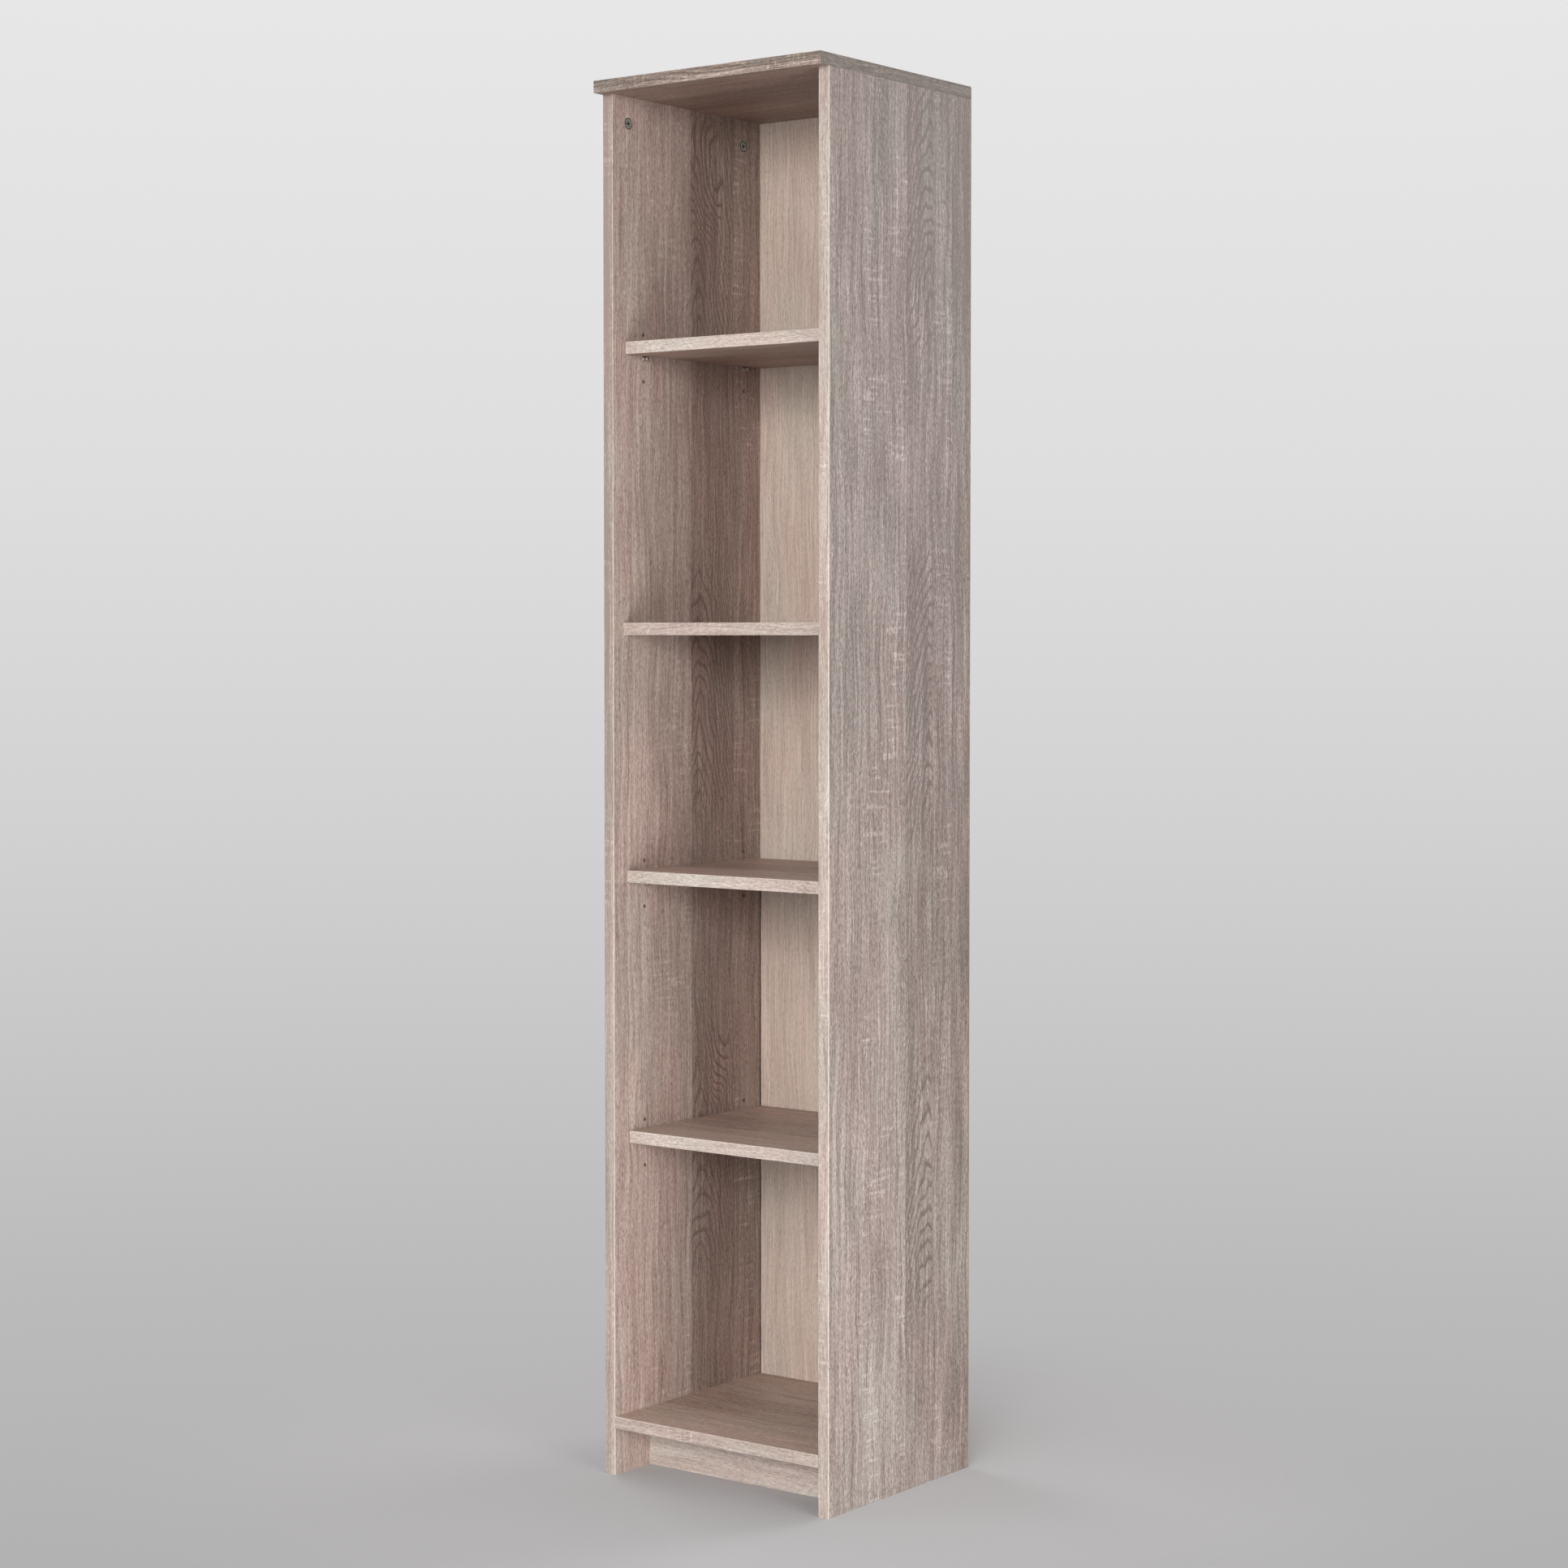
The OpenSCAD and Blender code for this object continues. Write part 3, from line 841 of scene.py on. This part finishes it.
@dataclass(frozen=True)
class MetalFinish:
    """Cast, plated or drawn metal with dulled patches and fine scratches.

    Args:
        bright: Colour where it is clean.
        dull: Colour where it is dulled.
        rough: Roughness where it is clean.
        patch: Size of the dulled patches in millimetres.
        relief: Depth of its grain in millimetres.
        metal: How metallic it is.
    """

    bright: Colour
    dull: Colour
    rough: float
    patch: float = 4.0
    relief: float = 0.03
    metal: float = 1.0

    def skin(self, tree: ShaderTree, place: Socket) -> tuple[Socket, Socket, Socket]:
        """Builds the metal's colour, roughness and relief.

        Args:
            tree: Tree that it is built in.
            place: Place on the piece in millimetres.

        Returns:
            The colour, the roughness and the relief.
        """
        size = 1 / self.patch
        patches = tree.noise(tree.scaled(place, (size, size, size), (1.0, 2.0, 3.0)), 3.0, 0.6)
        fine = tree.noise(tree.scaled(place, (3.0, 3.0, 3.0), (0.0, 0.0, 0.0)), 2.0, 0.6)
        dulled = tree.fade(patches, 0.38, 0.64)
        colour = tree.mix(dulled, self.bright, self.dull)
        rough = tree.math("MULTIPLY_ADD", dulled, 0.18, tree.math("MULTIPLY_ADD", fine, 0.12, self.rough))
        return colour, rough, fine

    def material(self, name: str) -> bpy.types.Material:
        """Builds the material.

        Args:
            name: Name of the metal piece.

        Returns:
            The material.
        """
        tree = ShaderTree(name + "_finish")
        colour, rough, relief = self.skin(tree, tree.place())
        return tree.surface(colour, rough, self.metal, normal=tree.bump(relief, 0.3, self.relief))


@dataclass(frozen=True)
class CamFinish:
    """Cast zinc of a cam lock, with painted shade in its recess and a painted shadow round its rim.

    Args:
        zinc: Finish of its open face.
        painted_shade: Colour of the painted shade in the recess and of the painted shadow round the rim.
        rim: Width of the painted rim shadow as a share of the lock's radius.
        skin: Thickness of the open face in millimetres.
    """

    zinc: MetalFinish
    painted_shade: Colour = shade(34, 34, 30)
    rim: float = 0.26
    skin: float = 0.15

    def material(self, name: str, low: Vector, high: Vector) -> bpy.types.Material:
        """Builds the material of one cam lock.

        Args:
            name: Name of the cam lock.
            low: Its lowest corner, in metres.
            high: Its highest corner, in metres.

        Returns:
            The material.
        """
        tree = ShaderTree(name + "_finish")
        place = tree.place()
        colour, rough, relief = self.zinc.skin(tree, place)
        spans = [(high[axis.value] - low[axis.value]) / MM for axis in Axis]
        turning = min(Axis, key=lambda axis: abs(spans[axis.value - 1] - spans[axis.value - 2]))
        steps = tree.parts(place)
        offsets = [tree.math("SUBTRACT", steps[axis.value], (low[axis.value] + high[axis.value]) / 2 / MM)
                   for axis in Axis]
        first, second = [offsets[axis.value] for axis in Axis if axis is not turning]
        radius = tree.math("SQRT", tree.math(
            "ADD", tree.math("MULTIPLY", first, first), tree.math("MULTIPLY", second, second)))
        reach = spans[turning.value - 1] / 2
        # Painted shadow round the rim, where the lock meets its bore.
        rim = tree.fade(radius, reach * (1 - self.rim), reach * (1 - self.rim / 4), 0.0, 0.9)
        # Painted shade below the open face, in the cross recess.
        depth = tree.math("ABSOLUTE", offsets[turning.value])
        recess = tree.math("LESS_THAN", depth, spans[turning.value] / 2 - self.skin)
        colour = tree.mix(tree.math("MAXIMUM", rim, recess), colour, self.painted_shade)
        return tree.surface(colour, rough, self.zinc.metal, normal=tree.bump(relief, 0.3, self.zinc.relief))


@dataclass(frozen=True)
class BeechFinish:
    """Plain beech of the dowels, with short dark flecks."""

    wood: Colour = shade(214, 178, 132)
    fleck: Colour = shade(160, 118, 80)

    def material(self, name: str) -> bpy.types.Material:
        """Builds the material.

        Args:
            name: Name of the wooden piece.

        Returns:
            The material.
        """
        tree = ShaderTree(name + "_finish")
        place = tree.place()
        lines = tree.noise(tree.scaled(place, (0.12, 1.1, 1.1), (0.0, 0.0, 0.0)), 3.0, 0.6)
        colour = tree.mix(tree.fade(lines, 0.52, 0.66), self.wood, self.fleck)
        return tree.surface(colour, tree.fade(lines, 0.3, 0.7, 0.55, 0.75), normal=tree.bump(lines, 0.3, 0.1))


def dress(node: bpy.types.Object, material: bpy.types.Material) -> None:
    """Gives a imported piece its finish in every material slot.

    Args:
        node: The piece.
        material: Its finish.
    """
    if not node.material_slots:
        node.data.materials.append(material)
    for slot in node.material_slots:
        slot.link = "OBJECT"
        slot.material = material
    LOG.info("%s: %s", node.name, material.name)


OUTER_OAK = OakPalette(
    pore=shade(86, 73, 67), dark=shade(112, 98, 92), middle=shade(150, 137, 131),
    light=shade(184, 171, 166), pale=shade(216, 206, 202))
INNER_OAK = OakPalette(
    pore=shade(92, 74, 68), dark=shade(118, 98, 90), middle=shade(154, 134, 125),
    light=shade(185, 166, 158), pale=shade(214, 199, 191))
SHELF_OAK = OakPalette(
    pore=shade(108, 88, 79), dark=shade(132, 110, 100), middle=shade(164, 141, 130),
    light=shade(188, 166, 154), pale=shade(208, 189, 178))
BAND_OAK = OakPalette(
    pore=shade(132, 116, 107), dark=shade(150, 134, 125), middle=shade(180, 165, 157),
    light=shade(203, 190, 182), pale=shade(224, 214, 207))
EDGE_OAK = OakPalette(
    pore=shade(70, 60, 54), dark=shade(90, 79, 71), middle=shade(130, 115, 105),
    light=shade(168, 153, 143), pale=shade(208, 195, 185))
BACK_OAK = OakPalette(
    pore=shade(134, 116, 106), dark=shade(150, 132, 121), middle=shade(176, 159, 149),
    light=shade(197, 181, 170), pale=shade(216, 202, 191))

OUTER_PLANKS = (
    Plank(0.0, 0.48),
    Plank(70.0, 0.48, sawn=1.0),
    Plank(164.0, 0.39, figure=1.0),
    Plank(222.0, 0.41, sawn=0.8),
    Plank(266.0, 0.35))
INNER_PLANKS = (
    Plank(0.0, 0.62),
    Plank(74.0, 0.56, sawn=0.7),
    Plank(159.0, 0.33, figure=0.8),
    Plank(250.0, 0.37, sawn=1.0))
UPPER_PLANKS = (Plank(0.0, 0.64), Plank(96.0, 0.48, figure=0.5), Plank(188.0, 0.58), Plank(262.0, 0.5))
# Darker copies of the upper planks for faces that look down: painted shade, darkest under the top.
SHADED_UNDER_PLANKS = (Plank(0.0, 0.5), Plank(96.0, 0.34, figure=0.4), Plank(188.0, 0.44), Plank(262.0, 0.36))
SHADED_ROOF_PLANKS = (Plank(0.0, 0.3), Plank(96.0, 0.2, figure=0.4), Plank(188.0, 0.34), Plank(262.0, 0.24))
BACK_PLANKS = (Plank(0.0, 0.67), Plank(118.0, 0.72, sawn=0.4), Plank(236.0, 0.65))


@dataclass
class Case:
    """Sides, top, bottom, fixed shelf, plinth and back of the bookcase, with their bands.

    Args:
        nodes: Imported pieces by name.
    """

    nodes: dict[str, bpy.types.Object]

    def dress_boards(self) -> None:
        """Gives each board of the case its print."""
        # The outer faces' negative drift is painted shade, darker towards the top.
        outer = OakPrint(OUTER_OAK, OUTER_PLANKS, streak=0.9, ripple=0.44, shade_drift=-0.11, seed=1.0)
        inner = OakPrint(INNER_OAK, INNER_PLANKS, Arch(175.0, 30.0, 0.4), seed=2.0,
                         knots=(Knot(192.0, 1700.0, 40.0), Knot(205.0, 548.0, 38.0)))
        across = OakPrint(SHELF_OAK, UPPER_PLANKS, Arch(120.0, 40.0, 0.9), seed=3.0)
        # The undersides get darker copies of the upper planks: painted shade.
        under = OakPrint(SHELF_OAK, SHADED_UNDER_PLANKS, Arch(150.0, 44.0, 0.9), seed=4.0)
        shaded_roof = OakPrint(SHELF_OAK, SHADED_ROOF_PLANKS, Arch(150.0, 44.0, 0.9), seed=10.0)
        front = OakPrint(BAND_OAK, (Plank(0.0, 0.6),), seed=5.0)
        finishes = {
            "left_side": BoardFinish(outer, inner, Axis.ACROSS, Axis.UP),
            "right_side": BoardFinish(inner, outer, Axis.ACROSS, Axis.UP),
            "top_panel": BoardFinish(shaded_roof, across, Axis.UP, Axis.ACROSS),
            "bottom_panel": BoardFinish(under, across, Axis.UP, Axis.ACROSS),
            "fixed_shelf": BoardFinish(under, across, Axis.UP, Axis.ACROSS),
            "plinth": BoardFinish(front, front, Axis.DEPTH, Axis.ACROSS),
        }
        for name, finish in finishes.items():
            dress(self.nodes[name], finish.material(name, *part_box(name)))

    def dress_bands(self) -> None:
        """Gives each band of the case its print and the painted highlights along its corners."""
        pale = OakPrint(BAND_OAK, (Plank(0.0, 0.4, sawn=1.0),), seed=6.0)
        # The left side's band gets darker tones than the right side's and a darkening towards the top:
        # painted shade.
        grey = OakPrint(BAND_OAK, (Plank(0.0, 0.32, sawn=1.0), Plank(9.0, 0.46, sawn=0.6)), shade_drift=-0.24,
                        seed=6.5)
        dark = OakPrint(EDGE_OAK, (Plank(0.0, 0.5, sawn=0.8), Plank(6.0, 0.28, sawn=1.0)), streak=0.9,
                        stripe=1.3, seed=7.0)
        end = OakPrint(EDGE_OAK, (Plank(0.0, 0.14),), streak=0.9, stripe=1.2, seed=8.0)
        finishes = {
            "left_side_band": BandFinish(grey, Axis.UP, Axis.ACROSS, highlight_strength=(0.1, 0.5)),
            "right_side_band": BandFinish(pale, Axis.UP, Axis.ACROSS, highlight_strength=(0.1, 0.6)),
            "bottom_panel_band": BandFinish(pale, Axis.ACROSS, Axis.UP),
            "fixed_shelf_band": BandFinish(pale, Axis.ACROSS, Axis.UP),
            "top_front_band": BandFinish(dark, Axis.ACROSS, Axis.UP),
            "top_left_band": BandFinish(end, Axis.DEPTH, Axis.UP, highlight_strength=(0.2, 0.3)),
            "top_right_band": BandFinish(end, Axis.DEPTH, Axis.UP, highlight_strength=(0.2, 0.3)),
        }
        for name, finish in finishes.items():
            dress(self.nodes[name], finish.material(name, *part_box(name)))

    def dress_back(self) -> None:
        """Gives the back board its printed front with a painted shadow line beside the left side, and its
        plain rear.
        """
        stripes = OakPrint(BACK_OAK, BACK_PLANKS, Arch(150.0, 60.0, 0.8), streak=0.5, stripe=1.2,
                           ripple=0.22, seed=9.0)
        low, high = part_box("back_panel")
        inner_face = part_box("left_side")[1].x
        dress(self.nodes["back_panel"], BackFinish(stripes).material("back_panel", low, high, inner_face))


@dataclass
class LooseShelf:
    """One loose shelf and its front band.

    Args:
        nodes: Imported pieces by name.
        level: Which shelf it is: upper, middle or lower.
        seed: Shift that gives it its own grain.
    """

    nodes: dict[str, bpy.types.Object]
    level: str
    seed: float

    def dress(self) -> None:
        """Gives the shelf and its band their prints."""
        upper = OakPrint(SHELF_OAK, UPPER_PLANKS, Arch(110.0, 42.0, 0.9), seed=self.seed)
        # The underside gets a darker copy of the upper planks: painted shade.
        under = OakPrint(SHELF_OAK, SHADED_UNDER_PLANKS, Arch(160.0, 38.0, 0.9), seed=self.seed + 0.5)
        shelf = self.level + "_shelf"
        finish = BoardFinish(under, upper, Axis.UP, Axis.ACROSS)
        dress(self.nodes[shelf], finish.material(shelf, *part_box(shelf)))
        band = shelf + "_band"
        pale = OakPrint(BAND_OAK, (Plank(0.0, 0.56),), streak=0.5, stripe=0.7, ripple=0.46,
                        seed=self.seed + 0.25)
        edge = BandFinish(pale, Axis.ACROSS, Axis.UP)
        dress(self.nodes[band], edge.material(band, *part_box(band)))


@dataclass
class Fittings:
    """Cam locks, cam bolts, dowels, nails and shelf pins.

    Args:
        nodes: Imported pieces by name.
        zinc: Finish of the cam locks.
        nickel: Finish of the shelf pins.
        steel: Finish of the bolts and nails.
        beech: Finish of the dowels.
    """

    nodes: dict[str, bpy.types.Object]
    zinc: MetalFinish = field(default_factory=lambda: MetalFinish(
        shade(178, 180, 172), shade(128, 130, 122), 0.5, metal=0.55))
    nickel: MetalFinish = field(default_factory=lambda: MetalFinish(
        shade(222, 218, 210), shade(176, 172, 164), 0.2, patch=3.0))
    steel: MetalFinish = field(default_factory=lambda: MetalFinish(
        shade(188, 188, 190), shade(138, 136, 132), 0.3))
    beech: BeechFinish = BeechFinish()

    def dress(self) -> None:
        """Gives every fitting its finish, one for each kind and one for each cam lock."""
        finishes = {
            "_pin_": self.nickel.material("shelf_pin"),
            "_bolts": self.steel.material("cam_bolt"),
            "_nails": self.steel.material("nail"),
            "_dowels": self.beech.material("dowel"),
        }
        for name, node in sorted(self.nodes.items()):
            kinds = [kind for kind in finishes if kind in name]
            if kinds:
                dress(node, finishes[kinds[0]])
            elif "_cam_" in name:
                dress(node, CamFinish(self.zinc).material(name, *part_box(name)))


@dataclass(frozen=True)
class Lamp:
    """One square soft box.

    Args:
        name: Its name.
        place: Where it hangs, in metres.
        aim: What it faces.
        size: Width of its face, in metres.
        power: Its power in watts.
    """

    name: str
    place: Triple
    aim: Triple
    size: float
    power: float


# Key light far in front on the right, so that the shelves cast soft shadows, and weaker lamps all round
LAMPS = (
    Lamp("key", (2.9, -5.6, 2.05), aim=(0.0, 0.0, 0.75), size=2.0, power=250.0),
    Lamp("high_front", (0.4, -3.0, 2.3), aim=(0.0, 0.0, 0.2), size=1.0, power=15.0),
    Lamp("low_front", (0.9, -2.1, 0.35), aim=(0.0, 0.0, 0.1), size=0.8, power=5.0),
    Lamp("low_right", (1.9, -0.8, 0.35), aim=(0.2, 0.0, 0.1), size=0.8, power=21.0),
    Lamp("left_fill", (-2.6, -2.4, 2.6), aim=(0.0, 0.0, 0.6), size=1.6, power=16.0),
    Lamp("side_fill", (-3.0, 0.8, 1.5), aim=(0.0, 0.0, 0.9), size=1.6, power=36.0),
    Lamp("rear_fill", (1.5, 3.8, 2.2), aim=(0.0, 0.0, 0.9), size=2.0, power=60.0))


@dataclass
class Studio:
    """Pale floor, backdrop, soft lights and camera.

    Args:
        floor_reach: Radius of the floor, in metres.
        floor_fade: Where the floor starts and ends fading into the backdrop, in metres from the middle.
        floor_paint: Colour of the floor.
        floor_shade: Colour of the floor's darker clouds.
        ambient: Colour of the light that comes from all round.
        horizon: Steepest looks down and up between which the backdrop changes, as heights of a unit step.
        greys: Places of the backdrop's greys between those looks, and the greys.
        lamps: The soft boxes.
        eye: Place of the camera, in metres.
        tilt: How far the camera looks down, in degrees.
        turn: How far it is turned from square on, in degrees.
        lens: Length of its lens, in millimetres.
        lens_drop: How far the picture is shifted, as a share of its width.
        film: Width of its film, in millimetres.
    """

    floor_reach: float = 2.5
    floor_fade: tuple[float, float] = (0.2, 1.0)
    floor_paint: Colour = shade(190, 189, 190)
    floor_shade: Colour = shade(180, 178, 179)
    ambient: Colour = shade(168, 166, 166)
    horizon: tuple[float, float] = (-0.28, 0.19)
    greys: tuple[tuple[float, int], ...] = ((0.0, 178), (0.18, 188), (0.48, 211), (0.7, 223), (1.0, 232))
    lamps: tuple[Lamp, ...] = LAMPS
    eye: Triple = (2.5023, -3.3120, 1.0978)
    tilt: float = 2.218
    turn: float = 37.074
    lens: float = 73.62
    lens_drop: float = -0.0186
    film: float = 36.0

    def build_floor(self) -> bpy.types.Object:
        """Builds the round floor under the bookcase.

        Returns:
            The floor.
        """
        turns = 96
        rings = (0.4, 0.8, 1.5, self.floor_reach)
        points = [(0.0, 0.0, 0.0)]
        faces: list[tuple[int, ...]] = []
        for ring in rings:
            for turn in range(turns):
                angle = 2 * math.pi * turn / turns
                points.append((ring * math.cos(angle), ring * math.sin(angle), 0.0))
        for turn in range(turns):
            after = (turn + 1) % turns
            faces.append((0, 1 + turn, 1 + after))
            for ring in range(len(rings) - 1):
                inner = 1 + ring * turns
                outer = inner + turns
                faces.append((inner + turn, outer + turn, outer + after, inner + after))
        mesh = bpy.data.meshes.new("floor")
        mesh.from_pydata(points, [], faces)
        mesh.materials.append(self.floor_material())
        floor = bpy.data.objects.new("floor", mesh)
        bpy.context.scene.collection.objects.link(floor)
        LOG.info("floor: %d faces", len(faces))
        return floor

    def floor_material(self) -> bpy.types.Material:
        """Builds the floor's paint, which fades out with distance.

        Returns:
            The material.
        """
        tree = ShaderTree("floor_paint")
        place = tree.place()
        cloud = tree.noise(tree.scaled(place, (0.002, 0.002, 0.002), (0.0, 0.0, 0.0)), 3.0)
        x, y, _ = tree.parts(place)
        far = tree.math("SQRT", tree.math("ADD", tree.math("MULTIPLY", x, x), tree.math("MULTIPLY", y, y)))
        paint = tree.add("ShaderNodeBsdfDiffuse")
        mottle = tree.fade(cloud, 0.3, 0.7, 0.0, 0.06)
        tree.feed(paint.inputs["Color"], tree.mix(mottle, self.floor_paint, self.floor_shade))
        clear = tree.add("ShaderNodeBsdfTransparent")
        blend = tree.add("ShaderNodeMixShader")
        start, end = self.floor_fade
        tree.feed(blend.inputs[0], tree.fade(far, start / MM, end / MM))
        tree.tree.links.new(paint.outputs[0], blend.inputs[1])
        tree.tree.links.new(clear.outputs[0], blend.inputs[2])
        tree.tree.links.new(blend.outputs[0], tree.output.inputs["Surface"])
        return tree.material

    def build_backdrop(self) -> None:
        """Paints the backdrop all round, darker towards the floor, over an even soft light."""
        world = bpy.data.worlds.new("backdrop")
        bpy.context.scene.world = world
        world.use_nodes = True
        nodes = world.node_tree.nodes
        links = world.node_tree.links
        nodes.clear()
        source = nodes.new("ShaderNodeTexCoord")
        split = nodes.new("ShaderNodeSeparateXYZ")
        span = nodes.new("ShaderNodeMapRange")
        span.inputs["From Min"].default_value = self.horizon[0]
        span.inputs["From Max"].default_value = self.horizon[1]
        colours = nodes.new("ShaderNodeValToRGB")
        while len(colours.color_ramp.elements) < len(self.greys):
            colours.color_ramp.elements.new(1.0)
        for element, (height, grey) in zip(colours.color_ramp.elements, self.greys):
            element.position = height
            element.color = shade(grey, grey - 1, grey)
        seen = nodes.new("ShaderNodeBackground")
        cast = nodes.new("ShaderNodeBackground")
        cast.inputs["Color"].default_value = self.ambient
        rays = nodes.new("ShaderNodeLightPath")
        blend = nodes.new("ShaderNodeMixShader")
        output = nodes.new("ShaderNodeOutputWorld")
        links.new(source.outputs["Generated"], split.inputs[0])
        links.new(split.outputs["Z"], span.inputs["Value"])
        links.new(span.outputs["Result"], colours.inputs["Fac"])
        links.new(colours.outputs["Color"], seen.inputs["Color"])
        links.new(rays.outputs["Is Camera Ray"], blend.inputs[0])
        links.new(cast.outputs[0], blend.inputs[1])
        links.new(seen.outputs[0], blend.inputs[2])
        links.new(blend.outputs[0], output.inputs["Surface"])
        LOG.info("backdrop: painted")

    def build_lamp(self, lamp: Lamp) -> None:
        """Hangs one soft box, which lights the bookcase but isn't seen itself.

        Args:
            lamp: The soft box.
        """
        data = bpy.data.lights.new(lamp.name, "AREA")
        data.shape = "SQUARE"
        data.size = lamp.size
        data.energy = lamp.power
        box = bpy.data.objects.new(lamp.name, data)
        box.location = lamp.place
        box.visible_camera = False
        box.rotation_euler = (Vector(lamp.aim) - Vector(lamp.place)).to_track_quat("-Z", "Y").to_euler()
        bpy.context.scene.collection.objects.link(box)
        LOG.info("%s: %.0f W", lamp.name, lamp.power)

    def build_lamps(self) -> None:
        """Hangs all the soft boxes."""
        for lamp in self.lamps:
            self.build_lamp(lamp)

    def build_camera(self) -> None:
        """Sets up the camera, turned to the right front corner."""
        data = bpy.data.cameras.new("camera")
        data.sensor_width = self.film
        data.lens = self.lens
        data.shift_y = self.lens_drop
        camera = bpy.data.objects.new("camera", data)
        camera.location = self.eye
        camera.rotation_euler = (math.radians(90.0 - self.tilt), 0.0, math.radians(self.turn))
        bpy.context.scene.collection.objects.link(camera)
        bpy.context.scene.camera = camera
        LOG.info("camera: lens %.2f mm", data.lens)


def main() -> None:
    """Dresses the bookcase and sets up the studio."""
    logging.basicConfig(level=logging.INFO, format="%(name)s %(message)s")
    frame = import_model()
    bpy.context.scene.view_settings.view_transform = "Standard"
    nodes = frame["nodes"]
    case = Case(nodes)
    case.dress_boards()
    case.dress_bands()
    case.dress_back()
    for number, level in enumerate(("upper", "middle", "lower")):
        LooseShelf(nodes, level, 11.0 + 2.0 * number).dress()
    Fittings(nodes).dress()
    studio = Studio()
    studio.build_floor()
    studio.build_backdrop()
    studio.build_lamps()
    studio.build_camera()


if __name__ == "__main__":
    main()
